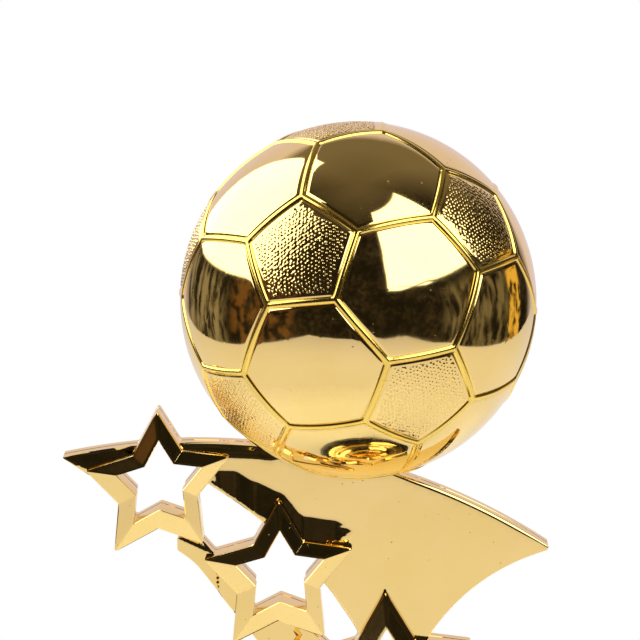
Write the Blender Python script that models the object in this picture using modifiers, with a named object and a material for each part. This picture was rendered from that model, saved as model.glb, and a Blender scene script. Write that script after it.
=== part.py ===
"""Football trophy in plated plastic.

A ball sits in a saddle on a flat wing, which is moulded in a thin front skin and a deeper rear half. Three
faceted star frames step down the wing's front. The wing's root stands in a round foot, which one long
threaded rod clamps to a weighted black base. The stars face -Y. The origin is the middle of the felt under
the base, and +Z is up.
"""

import math

import bmesh
import bpy
from mathutils import Matrix, Vector

MM = 0.001

# Driving dimensions, in millimetres.
GAP = 0.3  # between touching pieces
WELD_DISTANCE = 0.001 * MM  # joins the split corners that a cut can leave
BALL_RADIUS = 40.0
BALL_CENTRE = (-6.3, 0.0, 157.0)
BALL_WALL = 2.0
STAR_NOTCH = 0.55  # inner corners of a star, as a share of its tip radius
STAR_STRETCH = 1.035  # a star is a little taller than it is wide
STAR_HOLE = 0.582  # hole of a star frame, as a share of its tip radius
HOLE_SHIFT = (0.4, 0.8)  # the hole's centre from the star's, in x and z
UPPER_STAR = (-51.3, 114.6, 17.4, 0.108)  # x, z, tip radius and lean
MIDDLE_STAR = (-24.2, 93.2, 18.1, 0.08)
LOWER_STAR = (0.0, 68.0, 21.45, 0.1)
WING_FRONT = -2.8
WING_SPLIT = 0.0  # where the wing's front skin meets its rear half
WING_REAR = 2.5
STAR_BACK = WING_FRONT - GAP
STAR_RIM = 1.9  # height of a star's outer wall
STAR_RIDGE = 3.1  # height of a star at its hole
TONGUE_HALF_WIDTH = 8.0
TONGUE_BOTTOM = 41.3
POCKET_FLOOR = 1.5
POST_RADIUS = 1.5
POST_TILT = math.radians(10.9)  # the ball's post leans from the saddle towards the ball's centre
PEG_RADIUS = 1.0
PEG_END = -0.3
ROD_RADIUS = 2.5
HOLE_RADIUS = ROD_RADIUS + GAP

# Heights of the stack on the rod, from the felt up.
FELT_TOP = 1.5
NUT_BOTTOM = 2.4
NUT_HEIGHT = 4.0
NUT_FLATS = 8.0
WASHER_HEIGHT = 1.0
COVER_BOTTOM = 9.3
COVER_TOP = 11.3
BODY_BOTTOM = FELT_TOP + GAP
BODY_TOP = 30.0
TRIM_TOP = 34.0
FOOT_BOTTOM = TRIM_TOP + GAP
FOOT_TOP = 46.8
DRUM_RADIUS = 36.8

# The wing's sail has three arcs for its edge: centre x, centre z and radius.
TOP_ARC = (-41.6, -17.2, 141.6)
RIGHT_ARC = (49.8, 55.3, 46.15)
LEFT_ARC = (-88.8, 33.8, 94.6)
ROOT_HEIGHT = 64.0

COLOURS = {
    "gold_plating": ((0.83, 0.62, 0.22), 1.0, 0.12),
    "black_plastic": ((0.012, 0.012, 0.013), 0.0, 0.16),
    "felt": ((0.02, 0.03, 0.025), 0.0, 0.95),
    "steel": ((0.62, 0.63, 0.65), 1.0, 0.3),
    "iron": ((0.16, 0.15, 0.15), 1.0, 0.7),
    "plate_gold": ((0.86, 0.68, 0.30), 1.0, 0.28),
    "tape": ((0.75, 0.75, 0.72), 0.0, 0.8),
}


def clear_scene():
    for old in list(bpy.data.objects):
        bpy.data.objects.remove(old)


def material(name):
    found = bpy.data.materials.get(name)
    if found:
        return found
    made = bpy.data.materials.new(name)
    made.use_nodes = True
    colour, metallic, roughness = COLOURS[name]
    shader = made.node_tree.nodes["Principled BSDF"]
    shader.inputs["Base Color"].default_value = (*colour, 1.0)
    shader.inputs["Metallic"].default_value = metallic
    shader.inputs["Roughness"].default_value = roughness
    return made


def collection(name):
    made = bpy.data.collections.get(name)
    if made is None:
        made = bpy.data.collections.new(name)
        bpy.context.scene.collection.children.link(made)
    return made


def part(name, mesh, finish, smooth=True):
    """An object of the trophy, in the collection of its parts."""
    made = bpy.data.objects.new(name, mesh)
    collection("football_trophy").objects.link(made)
    mesh.materials.append(material(finish))
    if smooth:
        mesh.shade_smooth()
        mesh.set_sharp_from_angle(angle=math.radians(35))
    return made


def cutter(name, mesh):
    made = bpy.data.objects.new(name, mesh)
    collection("cutters").objects.link(made)
    made.hide_render = True
    made.display_type = "WIRE"
    return made


def boolean(target, tool, operation="DIFFERENCE"):
    step = target.modifiers.new(f"{operation.lower()} {tool.name}", "BOOLEAN")
    step.operation = operation
    step.object = tool
    step.solver = "EXACT"
    weld = target.modifiers.new(f"weld {tool.name}", "WELD")
    weld.merge_threshold = WELD_DISTANCE


def mesh_from(name, build):
    """A mesh made by build(bm), with its faces pointing out."""
    bm = bmesh.new()
    build(bm)
    bmesh.ops.recalc_face_normals(bm, faces=bm.faces)
    mesh = bpy.data.meshes.new(name)
    bm.to_mesh(mesh)
    bm.free()
    return mesh


def cylinder_mesh(name, radius, start, end, sides=24):
    """A cylinder between two points in millimetres."""
    a, b = Vector(start) * MM, Vector(end) * MM
    axis = b - a
    turn = Vector((0, 0, 1)).rotation_difference(axis).to_matrix().to_4x4()
    place = Matrix.Translation((a + b) / 2) @ turn

    def build(bm):
        bmesh.ops.create_cone(
            bm, cap_ends=True, segments=sides, radius1=radius * MM, radius2=radius * MM,
            depth=axis.length, matrix=place,
        )

    return mesh_from(name, build)


def box_mesh(name, low, high):
    size = [(h - l) * MM for l, h in zip(low, high)]
    middle = [(h + l) / 2 * MM for l, h in zip(low, high)]
    place = Matrix.Translation(middle) @ Matrix.Diagonal((*size, 1.0))
    return mesh_from(name, lambda bm: bmesh.ops.create_cube(bm, size=1.0, matrix=place))


def turned(name, profile, finish, steps=40, closed=True):
    """A shape turned about Z from its (radius, height) profile, which runs down the outer side."""
    mesh = bpy.data.meshes.new(name)
    points = [(r * MM, 0.0, z * MM) for r, z in profile]
    edges = [(i, i + 1) for i in range(len(points) - 1)]
    if closed:
        edges.append((len(points) - 1, 0))
    mesh.from_pydata(points, edges, [])
    made = part(name, mesh, finish, smooth=False)
    screw = made.modifiers.new("turn", "SCREW")
    screw.steps = steps
    screw.render_steps = steps
    screw.use_merge_vertices = True
    screw.merge_threshold = 0.0001
    screw.use_smooth_shade = True
    return made


def arc(centre, radius, start, end, count):
    """Points on a circle between two angles in degrees, both ends included."""
    points = []
    for i in range(count + 1):
        angle = math.radians(start + (end - start) * i / count)
        points.append((centre[0] + radius * math.cos(angle), centre[1] + radius * math.sin(angle)))
    return points


def plate_mesh(name, outline, y_low, y_high):
    """A flat plate from an (x, z) outline, made as a filled 2D curve and turned upright."""
    curve = bpy.data.curves.new(name, "CURVE")
    curve.dimensions = "2D"
    curve.fill_mode = "BOTH"
    curve.extrude = (y_high - y_low) / 2 * MM
    spline = curve.splines.new("POLY")
    spline.points.add(len(outline) - 1)
    for point, (x, z) in zip(spline.points, outline):
        point.co = (x * MM, z * MM, 0.0, 1.0)
    spline.use_cyclic_u = True
    guide = bpy.data.objects.new(name, curve)
    bpy.context.scene.collection.objects.link(guide)
    bpy.context.view_layer.update()
    flat = bpy.data.meshes.new_from_object(guide.evaluated_get(bpy.context.evaluated_depsgraph_get()))
    bpy.data.objects.remove(guide)

    def build(bm):
        bm.from_mesh(flat)
        bmesh.ops.remove_doubles(bm, verts=bm.verts, dist=1e-6)
        for vert in bm.verts:
            depth = y_low if vert.co.z > 0 else y_high
            vert.co = (vert.co.x, depth * MM, vert.co.y)

    return mesh_from(name, build)


def star_point(star, degrees, radius):
    """A point of a star's plane from its angle and distance: a star stands on two tips and leans up to the right."""
    x, z, _, lean = star
    across = radius * math.cos(math.radians(degrees))
    up = radius * math.sin(math.radians(degrees))
    return (x + across, z + STAR_STRETCH * up + lean * across)


def star_outline(star, scale=1.0):
    """The ten corners of a star, first tip up."""
    points = []
    for i in range(10):
        share = scale if i % 2 == 0 else scale * STAR_NOTCH
        points.append(star_point(star, 90 + 36 * i, star[2] * share))
    return points


def hole_outline(star, scale=STAR_HOLE):
    return [(x + HOLE_SHIFT[0], z + HOLE_SHIFT[1]) for x, z in star_outline(star, scale)]


def shrunk(star, inset):
    """The scale that moves every edge of a star inwards by inset."""
    radius = star[2]
    slant = math.sqrt(1 + STAR_NOTCH**2 - 2 * STAR_NOTCH * math.cos(math.radians(36)))
    edge_distance = radius * STAR_NOTCH * math.sin(math.radians(36)) / slant
    return 1 - inset / edge_distance


def on_tip(star, tip, share=0.74):
    """The place on a star frame where a peg or a screw has most room, on the line to a tip."""
    return star_point(star, 90 + 72 * tip, share * star[2])


def circle_corner(first, second, upper):
    """Where two circles cross; upper picks the crossing with the larger z."""
    a, b = Vector(first[:2]), Vector(second[:2])
    across = b - a
    span = across.length
    along = (first[2] ** 2 - second[2] ** 2 + span**2) / (2 * span)
    aside = math.sqrt(first[2] ** 2 - along**2)
    unit = across / span
    side = Vector((-unit.y, unit.x)) * aside
    found = [a + unit * along + side, a + unit * along - side]
    found.sort(key=lambda p: p.y)
    return found[1 if upper else 0]


def arc_through(first, middle, last, count):
    """Points on the arc that passes through three points."""
    a, b, c = (Vector(p) for p in (first, middle, last))
    ab, ac = b - a, c - a
    twice = 2 * (ab.x * ac.y - ab.y * ac.x)
    centre = a + Vector((
        (ac.y * ab.length_squared - ab.y * ac.length_squared) / twice,
        (ab.x * ac.length_squared - ac.x * ab.length_squared) / twice,
    ))
    circle = (centre.x, centre.y)
    start, end = angle_on(circle, first), angle_on(circle, last)
    if abs(end - start) > 180:
        end += 360 if end < start else -360
    return arc(circle, (a - centre).length, start, end, count)


def angle_on(circle, point):
    return math.degrees(math.atan2(point[1] - circle[1], point[0] - circle[0]))


def wing_outline():
    """The wing's sail: one convex arc on top and two hollow arcs that end side by side behind the lower star."""
    right_tip = circle_corner(TOP_ARC, RIGHT_ARC, upper=True)
    left_tip = circle_corner(TOP_ARC, LEFT_ARC, upper=True)
    root_left = math.degrees(math.asin((ROOT_HEIGHT - LEFT_ARC[1]) / LEFT_ARC[2]))
    root_right = 180 - math.degrees(math.asin((ROOT_HEIGHT - RIGHT_ARC[1]) / RIGHT_ARC[2]))
    blunt = 1.1  # half the width of the sail's blunt right tip
    top_start = angle_on(TOP_ARC, right_tip) + math.degrees(blunt / TOP_ARC[2])
    top = arc(TOP_ARC[:2], TOP_ARC[2], top_start, angle_on(TOP_ARC, left_tip), 14)
    left = arc(LEFT_ARC[:2], LEFT_ARC[2], angle_on(LEFT_ARC, left_tip), root_left, 9)
    right_end = angle_on(RIGHT_ARC, right_tip) + math.degrees(blunt / RIGHT_ARC[2])
    right = arc(RIGHT_ARC[:2], RIGHT_ARC[2], root_right, right_end, 9)
    return top + left[1:] + right


def spur_outline():
    """The short horn left of the upper star, which carries on the top arc."""
    start = math.degrees(math.acos((-46.0 - TOP_ARC[0]) / TOP_ARC[2]))
    end = math.degrees(math.acos((-73.0 - TOP_ARC[0]) / TOP_ARC[2]))
    return arc(TOP_ARC[:2], TOP_ARC[2], start, end, 5) + [(-72.7, 120.5), (-68.2, 117.5), (-58.3, 111.0)]


def ribbon_outline():
    """The lower horn, and its long sweep from under the upper star to the root."""
    horn = [(-47.2, 102.2), (-47.2, 99.1)]
    sweep = arc_through((-43.2, 96.2), (-34.5, 84.7), (-10.5, 54.5), 8)
    back = [(-4.0, 59.5), (-10.2, 73.6), (-16.7, 80.0), (-24.3, 89.4), (-31.3, 95.0), (-38.6, 98.2)]
    return horn + sweep + back + [(-41.2, 101.2), (-43.2, 102.4)]


def tongue_outline():
    """The root that stands in the foot and flares up behind the lower star."""
    half = TONGUE_HALF_WIDTH
    flare = [(half, 47.0), (9.4, 50.5), (11.4, 55.0), (9.0, 63.0)]
    right = [(half, TONGUE_BOTTOM)] + flare
    return right + [(-x, z) for x, z in reversed(right)]


def pocket_outline():
    """The hollow inside the wing's sail, one wall in from its edge."""
    wall = 2.5
    top = (*TOP_ARC[:2], TOP_ARC[2] - wall)
    right = (*RIGHT_ARC[:2], RIGHT_ARC[2] + wall)
    tip = circle_corner(top, right, upper=True)
    left_x, floor_z = 4.6, 92.3
    top_start = math.degrees(math.acos((left_x - top[0]) / top[2]))
    floor_angle = 180 - math.degrees(math.asin((floor_z - right[1]) / right[2]))
    upper = arc(top[:2], top[2], top_start, angle_on(top, tip) + 1.2, 10)
    lower = arc(right[:2], right[2], angle_on(right, tip) + 4.0, floor_angle, 8)
    return upper + lower + [(left_x, floor_z)]


def sphere_mesh(name, radius, centre):
    place = Matrix.Translation(Vector(centre) * MM)

    def build(bm):
        bmesh.ops.create_uvsphere(bm, u_segments=40, v_segments=24, radius=radius * MM, matrix=place)

    return mesh_from(name, build)


def ball_shell(name, front):
    """Half of the ball, split on the wing's middle plane. The front half has a lip that fits in the rear half."""
    outer = BALL_RADIUS
    inner = BALL_RADIUS - BALL_WALL
    rings = 8
    edge = GAP / 2
    outside = [(outer * math.sin(a), outer * math.cos(a)) for a in steps_to_edge(outer, edge, rings)]
    inside = [(inner * math.sin(a), inner * math.cos(a)) for a in steps_to_edge(inner, edge, rings)]
    inside.reverse()
    if front:
        lip_outer, lip_inner, reach = inner - GAP, inner - GAP - 1.1, 2.4
        root = math.sqrt(lip_inner**2 - 2.5**2)
        inside = [(r, z) for r, z in inside if z > 4.0]
        profile = outside + [(lip_outer, edge), (lip_outer, -reach), (lip_inner, -reach), (root, 2.5)]
        profile += inside
    else:
        profile = outside + inside
    mesh = bpy.data.meshes.new(name)
    points = [(r * MM, 0.0, z * MM) for r, z in profile]
    mesh.from_pydata(points, [(i, i + 1) for i in range(len(points) - 1)], [])
    made = part(name, mesh, "gold_plating", smooth=False)
    screw = made.modifiers.new("turn", "SCREW")
    screw.steps = screw.render_steps = 40
    screw.use_merge_vertices = True
    screw.merge_threshold = 0.00005
    screw.use_smooth_shade = True
    made.location = Vector(BALL_CENTRE) * MM
    made.rotation_euler = (math.pi / 2 if front else -math.pi / 2, 0.0, 0.0)
    boolean(made, cutter(f"{name}_post_hole", post_cylinder("post_hole", POST_RADIUS + GAP, 30.0, 44.0)))
    return made


def steps_to_edge(radius, edge, rings):
    """Angles from the pole to where the sphere meets the parting plane."""
    last = math.acos(edge / radius)
    return [last * i / rings for i in range(rings + 1)]


def post_cylinder(name, radius, near, far):
    """A cylinder on the ball post's axis, between two distances from the ball's centre."""
    down = Vector((-math.sin(POST_TILT), 0.0, -math.cos(POST_TILT)))
    centre = Vector(BALL_CENTRE)
    return cylinder_mesh(name, radius, centre + down * near, centre + down * far)


def make_ball():
    ball_shell("ball_front_shell", front=True)
    ball_shell("ball_rear_shell", front=False)
    post = part("ball_post", post_cylinder("ball_post", POST_RADIUS, 34.0, 52.0), "steel")
    boolean(post, cutter("post_flange", post_cylinder("post_flange", 7.5, 33.4, 35.6)), "UNION")


def wing_half(name, y_low, y_high):
    """The wing's front skin or rear half, with the star holes, saddle and post hole cut in it."""
    made = part(name, plate_mesh(name, wing_outline(), y_low, y_high), "gold_plating")
    pads = [("upper_pad", UPPER_STAR), ("middle_pad", MIDDLE_STAR), ("lower_pad", LOWER_STAR)]
    joined = [("spur", spur_outline()), ("ribbon", ribbon_outline()), ("tongue", tongue_outline())]
    joined += [(suffix, star_outline(star, shrunk(star, 0.15))) for suffix, star in pads]
    for suffix, outline in joined:
        boolean(made, cutter(f"{name}_{suffix}", plate_mesh(suffix, outline, y_low, y_high)), "UNION")
    for suffix, star in pads:
        hole = plate_mesh(f"{suffix}_hole", hole_outline(star, STAR_HOLE + 0.01), y_low - 1.0, y_high + 1.0)
        boolean(made, cutter(f"{name}_{suffix}_hole", hole))
    boolean(made, cutter(f"{name}_saddle", sphere_mesh("saddle", BALL_RADIUS + GAP, BALL_CENTRE)))
    boolean(made, cutter(f"{name}_post_hole", post_cylinder("post", POST_RADIUS + GAP, 38.0, 52.0 + GAP)))
    return made


def make_wing():
    """The wing's two halves. The rear half is hollow behind the skin."""
    front = wing_half("wing_front", WING_FRONT, WING_SPLIT - GAP / 2)
    rear = wing_half("wing_rear", WING_SPLIT + GAP / 2, WING_REAR)
    pocket = plate_mesh("pocket", pocket_outline(), WING_SPLIT - 1.0, POCKET_FLOOR)
    boolean(rear, cutter("wing_pocket", pocket))
    return front, rear


def star_mesh(name, star):
    """A star frame: a wall round its edge, ten flat facets that rise to its hole, and the hole's wall."""
    outer = star_outline(star)
    rim = star_outline(star, 0.985)
    rows = [
        (outer, STAR_BACK),
        (rim, STAR_BACK - STAR_RIM),
        (hole_outline(star), STAR_BACK - STAR_RIDGE),
        (hole_outline(star, STAR_HOLE - 0.01), STAR_BACK),
    ]

    def build(bm):
        loops = [[bm.verts.new((x * MM, y * MM, z * MM)) for x, z in outline] for outline, y in rows]
        for row, following in zip(loops, loops[1:] + loops[:1]):
            for i in range(10):
                j = (i + 1) % 10
                bm.faces.new((row[i], row[j], following[j], following[i]))
        bmesh.ops.triangulate(bm, faces=bm.faces)

    return mesh_from(name, build)


def pegged_star(name, star, tips, skin):
    """A star frame with pegs on its back, and their holes in the wing's front skin."""
    made = part(name, star_mesh(name, star), "gold_plating", smooth=False)
    for tip in tips:
        x, z = on_tip(star, tip)
        peg = cylinder_mesh("peg", PEG_RADIUS, (x, STAR_BACK - 0.8, z), (x, PEG_END, z), 16)
        boolean(made, cutter(f"{name}_peg_{tip}", peg), "UNION")
        hole = cylinder_mesh("peg_hole", PEG_RADIUS + GAP, (x, STAR_BACK - 1.0, z), (x, PEG_END + GAP, z), 16)
        tool = cutter(f"{name}_peg_hole_{tip}", hole)
        boolean(skin, tool)


def make_stars(front, rear):
    pegged_star("star_upper", UPPER_STAR, (1, 4), front)
    pegged_star("star_middle", MIDDLE_STAR, (1, 3), front)
    lower = part("star_lower", star_mesh("star_lower", LOWER_STAR), "gold_plating", smooth=False)
    reach = STAR_BACK - 1.3
    for label, tip in (("top", 0), ("left", 2), ("right", 3)):
        x, z = on_tip(LOWER_STAR, tip)
        hole = cylinder_mesh("screw_hole", 1.0 + GAP, (x, reach - GAP, z), (x, WING_REAR + 1.0, z), 16)
        tool = cutter(f"screw_hole_{label}", hole)
        for drilled in (front, rear, lower):
            boolean(drilled, tool)
        make_screw(f"star_screw_{label}", x, z, reach, WING_REAR + GAP)


def make_screw(name, x, z, tip_y, seat_y):
    """A pan-head screw along Y, its head on the rear face, with a cross slot."""
    shank = part(name, cylinder_mesh(name, 1.0, (x, tip_y, z), (x, seat_y + 0.8, z), 16), "steel")
    head = cylinder_mesh("head", 1.9, (x, seat_y, z), (x, seat_y + 1.4, z), 24)
    boolean(shank, cutter(f"{name}_head", head), "UNION")
    for suffix, half in (("slot_a", (1.2, 0.25)), ("slot_b", (0.25, 1.2))):
        low = (x - half[0], seat_y + 0.8, z - half[1])
        high = (x + half[0], seat_y + 2.2, z + half[1])
        boolean(shank, cutter(f"{name}_{suffix}", box_mesh(suffix, low, high)))


def make_foot():
    """The round foot: a flange, a cove and a slotted collar that grips the wing's root."""
    profile = [(0.0, FOOT_TOP), (12.2, FOOT_TOP), (13.2, FOOT_TOP - 0.9), (13.2, 43.2), (14.2, 41.4)]
    profile += [(16.4, 39.6), (19.6, 38.4), (22.4, 37.9), (23.4, 37.0), (23.4, 35.2), (22.6, FOOT_BOTTOM)]
    profile += [(0.0, FOOT_BOTTOM)]
    foot = turned("riser_foot", profile, "gold_plating", closed=False)
    slot_half = TONGUE_HALF_WIDTH + GAP
    slot_low = (-slot_half, WING_FRONT - GAP, TONGUE_BOTTOM - GAP)
    slot = box_mesh("slot", slot_low, (slot_half, WING_REAR + GAP, FOOT_TOP + 5))
    boolean(foot, cutter("foot_slot", slot))
    pocket = cylinder_mesh("pocket", NUT_FLATS / math.sqrt(3) + GAP, (0, 0, 36.4), (0, 0, TONGUE_BOTTOM + 1), 6)
    boolean(foot, cutter("foot_nut_pocket", pocket))
    bore = cylinder_mesh("bore", HOLE_RADIUS, (0, 0, FOOT_BOTTOM - 2), (0, 0, 37.0))
    boolean(foot, cutter("foot_bore", bore))
    return foot


def make_cross_pin(drilled):
    """The steel pin that holds the wing's root in the foot."""
    z = 44.2
    part("cross_pin", cylinder_mesh("cross_pin", 1.25, (0, -13.0, z), (0, 13.0, z), 20), "steel")
    tool = cutter("cross_pin_hole", cylinder_mesh("cross_pin_hole", 1.25 + GAP, (0, -20, z), (0, 20, z), 20))
    for piece in drilled:
        boolean(piece, tool)


def make_base():
    base = [(HOLE_RADIUS, BODY_TOP), (33.5, BODY_TOP), (36.2, 29.2), (37.8, 27.6), (37.8, 26.6)]
    base += [(DRUM_RADIUS, 25.6), (DRUM_RADIUS, 10.2), (37.8, 9.2), (38.2, 8.2), (40.4, 7.6), (41.6, 6.2)]
    base += [(41.6, 2.6), (40.9, BODY_BOTTOM), (39.2, BODY_BOTTOM), (39.2, 6.4), (34.8, 10.4), (34.8, 24.4)]
    base += [(31.6, 27.6), (6.5, 27.6), (6.5, COVER_TOP + GAP), (HOLE_RADIUS, COVER_TOP + GAP)]
    turned("base_body", base, "black_plastic")

    trim = [(HOLE_RADIUS, TRIM_TOP), (25.6, TRIM_TOP), (26.6, 33.4), (28.4, 33.0), (29.6, 32.0)]
    trim += [(29.6, 31.2), (29.0, BODY_TOP + GAP), (HOLE_RADIUS, BODY_TOP + GAP)]
    turned("base_trim", trim, "gold_plating")

    weight = [(7.4, 24.0), (30.6, 24.0), (33.8, 21.0), (33.8, COVER_TOP + GAP), (7.4, COVER_TOP + GAP)]
    turned("base_weight", weight, "iron", steps=36)

    cover = [(HOLE_RADIUS, COVER_TOP), (33.6, COVER_TOP), (34.0, 10.9), (34.0, COVER_BOTTOM)]
    cover += [(HOLE_RADIUS, COVER_BOTTOM)]
    turned("bottom_cover", cover, "black_plastic", steps=36)

    part("felt_pad", cylinder_mesh("felt_pad", 40.6, (0, 0, 0), (0, 0, FELT_TOP), 48), "felt")


def ring(name, inner, outer, low, high):
    turned(name, [(inner, high), (outer, high), (outer, low), (inner, low)], "steel", steps=24)


def nut(name, low):
    made = part(name, cylinder_mesh(name, NUT_FLATS / math.sqrt(3), (0, 0, low), (0, 0, low + NUT_HEIGHT), 6), "steel")
    hole = cylinder_mesh("thread", HOLE_RADIUS, (0, 0, low - 1), (0, 0, low + NUT_HEIGHT + 1))
    boolean(made, cutter(f"{name}_thread", hole))


def make_fasteners():
    part("clamp_rod", cylinder_mesh("clamp_rod", ROD_RADIUS, (0, 0, FELT_TOP + GAP), (0, 0, 40.6)), "steel")
    nut("clamp_nut", NUT_BOTTOM)
    lock_bottom = NUT_BOTTOM + NUT_HEIGHT + GAP
    ring("lock_washer", HOLE_RADIUS, 4.6, lock_bottom, lock_bottom + WASHER_HEIGHT)
    flat_bottom = lock_bottom + WASHER_HEIGHT + GAP
    ring("flat_washer", HOLE_RADIUS, 7.5, flat_bottom, flat_bottom + WASHER_HEIGHT)
    nut("foot_nut", 36.7)


def sector(name, inner, outer, half_angle, low, high, finish):
    """A piece of a round wall that faces -Y."""
    start, end = -90 - half_angle, -90 + half_angle
    outline = arc((0, 0), outer, start, end, 14) + arc((0, 0), inner, end, start, 14)

    def build(bm):
        flat = bm.faces.new([bm.verts.new((x * MM, y * MM, low * MM)) for x, y in outline])
        grown = bmesh.ops.extrude_face_region(bm, geom=[flat])
        raised = [v for v in grown["geom"] if isinstance(v, bmesh.types.BMVert)]
        bmesh.ops.translate(bm, verts=raised, vec=(0, 0, (high - low) * MM))

    return part(name, mesh_from(name, build), finish)


def make_name_plate():
    tape_inner = DRUM_RADIUS + GAP
    plate_inner = tape_inner + 0.5 + GAP
    sector("name_plate_tape", tape_inner, tape_inner + 0.5, 33, 12.8, 23.2, "tape")
    sector("name_plate", plate_inner, plate_inner + 0.8, 36, 11.6, 24.4, "plate_gold")


def main():
    clear_scene()
    make_base()
    make_fasteners()
    foot = make_foot()
    front, rear = make_wing()
    make_cross_pin((foot, front, rear))
    make_stars(front, rear)
    make_ball()
    make_name_plate()


main()
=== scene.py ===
"""Visual model of the football figure trophy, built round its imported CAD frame.

Lengths in the constants are millimetres, with +Z up, -Y to the front and +X to the viewer's right.
"""

import functools
import math
import random

import bmesh
import bpy
import numpy as np
from mathutils import Matrix, Vector
from mathutils.geometry import delaunay_2d_cdt


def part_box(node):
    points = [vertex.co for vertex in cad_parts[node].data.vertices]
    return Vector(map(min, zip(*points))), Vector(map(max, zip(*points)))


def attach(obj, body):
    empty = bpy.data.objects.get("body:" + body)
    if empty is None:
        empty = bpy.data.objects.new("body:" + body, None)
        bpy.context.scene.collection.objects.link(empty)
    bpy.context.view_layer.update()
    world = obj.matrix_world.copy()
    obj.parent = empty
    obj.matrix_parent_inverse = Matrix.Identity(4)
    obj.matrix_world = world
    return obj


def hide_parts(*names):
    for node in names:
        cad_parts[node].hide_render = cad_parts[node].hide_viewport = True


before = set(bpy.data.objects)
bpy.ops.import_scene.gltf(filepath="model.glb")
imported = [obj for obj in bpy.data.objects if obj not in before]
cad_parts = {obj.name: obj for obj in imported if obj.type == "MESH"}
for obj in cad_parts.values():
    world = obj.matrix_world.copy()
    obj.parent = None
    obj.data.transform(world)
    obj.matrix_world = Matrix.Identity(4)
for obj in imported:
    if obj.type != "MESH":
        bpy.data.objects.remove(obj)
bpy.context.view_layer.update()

MM = 0.001
SEED = 7

# ---- sizes
BALL_LOW, BALL_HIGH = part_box("ball_front_shell")
BALL_RADIUS = (BALL_HIGH.x - BALL_LOW.x) / 2 / MM
BALL_CENTRE = Vector((BALL_LOW.x + BALL_HIGH.x, 0, BALL_LOW.z + BALL_HIGH.z)) / 2 / MM
BALL_TURN = Matrix((
    (-0.2524, -0.9577, -0.1380),
    (-0.4693, 0.2459, -0.8481),
    (0.8462, -0.1493, -0.5115),
))  # how the panels lie on the ball
BALL_YAW = math.radians(-2.0)  # a last small turn of the panels about Z
PENTAGON_CUT = 0.32  # share of an icosahedron's edge that a pentagon takes at each end
SEAM_ROWS = (
    (0.0, 0.0), (0.16, -0.012), (0.32, -0.05), (0.46, -0.12), (0.58, -0.22), (0.68, -0.36), (0.76, -0.44),
    (0.88, -0.42), (1.02, -0.34), (1.25, -0.29), (1.5, -0.28),
)  # distance from the seam's middle, and height against the ball's radius
PANEL_ROWS = (2.6, 4.2, 6.0, 8.0, 10.0, 12.0)  # distances of a smooth panel's further rings from the seam
PANEL_DEPTH = -0.28  # height of the panels against the ball's radius
SEAM_EDGE = 0.9  # the seam bead is this wide on each side
SIDE_STEPS = 18
NEIGHBOUR_COSINE = 0.4  # corners of an icosahedron with more than this between them are neighbours
PEBBLE_PITCH = 0.92
PEBBLE_HEIGHT = 0.10
PEBBLE_JITTER = 0.19
PEBBLE_MARGIN = 0.34  # from a pebble's middle to the panel's edge
ROW_SHARE = 0.866  # distance between the rows of a staggered grid, against its pitch
SEAM_SLOT, PEBBLE_SLOT = 1, 2  # places in the ball's list of materials
SHELL_INNER = 38.0  # radius of the shells' hollow
DOME_RINGS, DOME_STEP = 11, 8.4  # rings of the hollow, and the degrees between them
HALF_GAP = 0.03  # each half's step back from a parting line

WING_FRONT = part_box("wing_front")[0].y / MM
WING_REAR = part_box("wing_rear")[1].y / MM
STARS = ("star_upper", "star_middle", "star_lower")
STAR_CONTACT = WING_FRONT - 0.02  # the backs of the stars, just clear of the wing
STAR_RIM_FALL = 1.2  # about how far a star's outer rim lies behind the ridge round its hole
TOP_ARC = (-41.6, -17.2, 141.6)  # x, z and radius of the wing's top edge
LEFT_ARC = (-88.8, 33.8, 94.6)  # the sail's hollow lower left edge
BLUNT_TIP_X = 25  # the sail's blunt tip is to the right of this
GRID_PITCH = 1.4  # between the points of a wing's face
LIP_PITCH = 0.6  # between its points near the lip, the spur and the lower horn
LIP_CURVE = (
    (-39.0, 118.0), (-34.0, 117.9), (-29.7, 115.5), (-23.6, 112.9),
    (-18.5, 107.4), (-11.5, 106.5), (-4.0, 102.0),
)  # x and z along the upper line of the lip
LIP_SLOPE = 0.13  # how steeply the sail stands out below that line
LIP_REACH = 7.5  # how far below the line it goes on standing out
LIP_START, LIP_FADE = (-39.3, -37.6), (-9.5, -7.0)  # x where it rises on the left and fades on the right
LIP_STOP = (-20.0, 101.3)  # right of and below this place there is no lip
ROOF_FALL, SPUR_FALL = 0.42, 0.30  # how steeply the roofs fall from their ridges, and the spur's underside
SPUR_ROOT = -54.0
SPUR_RIDGE = ((-72.9, 120.2), (-66.4, 117.7))  # two places, x and z, on the spur's ridge
HORN_ROOT, HORN_TOP = -38.0, 104.0  # the lower horn is left of and below these
HORN_RIDGE = (-47.2, 102.3, 0.48)  # x, z and how steeply the horn's ridge drops to the right
ROLL_WIDTH, ROLL_DEPTH = 2.6, 0.8  # the sail's roll along its top left edge
ON_ARC = 0.25  # an outline's point this close to an arc is on it
TURNED_ANGLE = 30.0  # turned pieces are shaded smooth up to this angle between faces
SMALL_HOLE = 6  # outlines of less than this across are holes for pins and screws
PARTING_STEP = 0.06  # how far each skin stays from the wing's middle plane

GOLD = (0.96, 0.725, 0.30)

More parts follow.
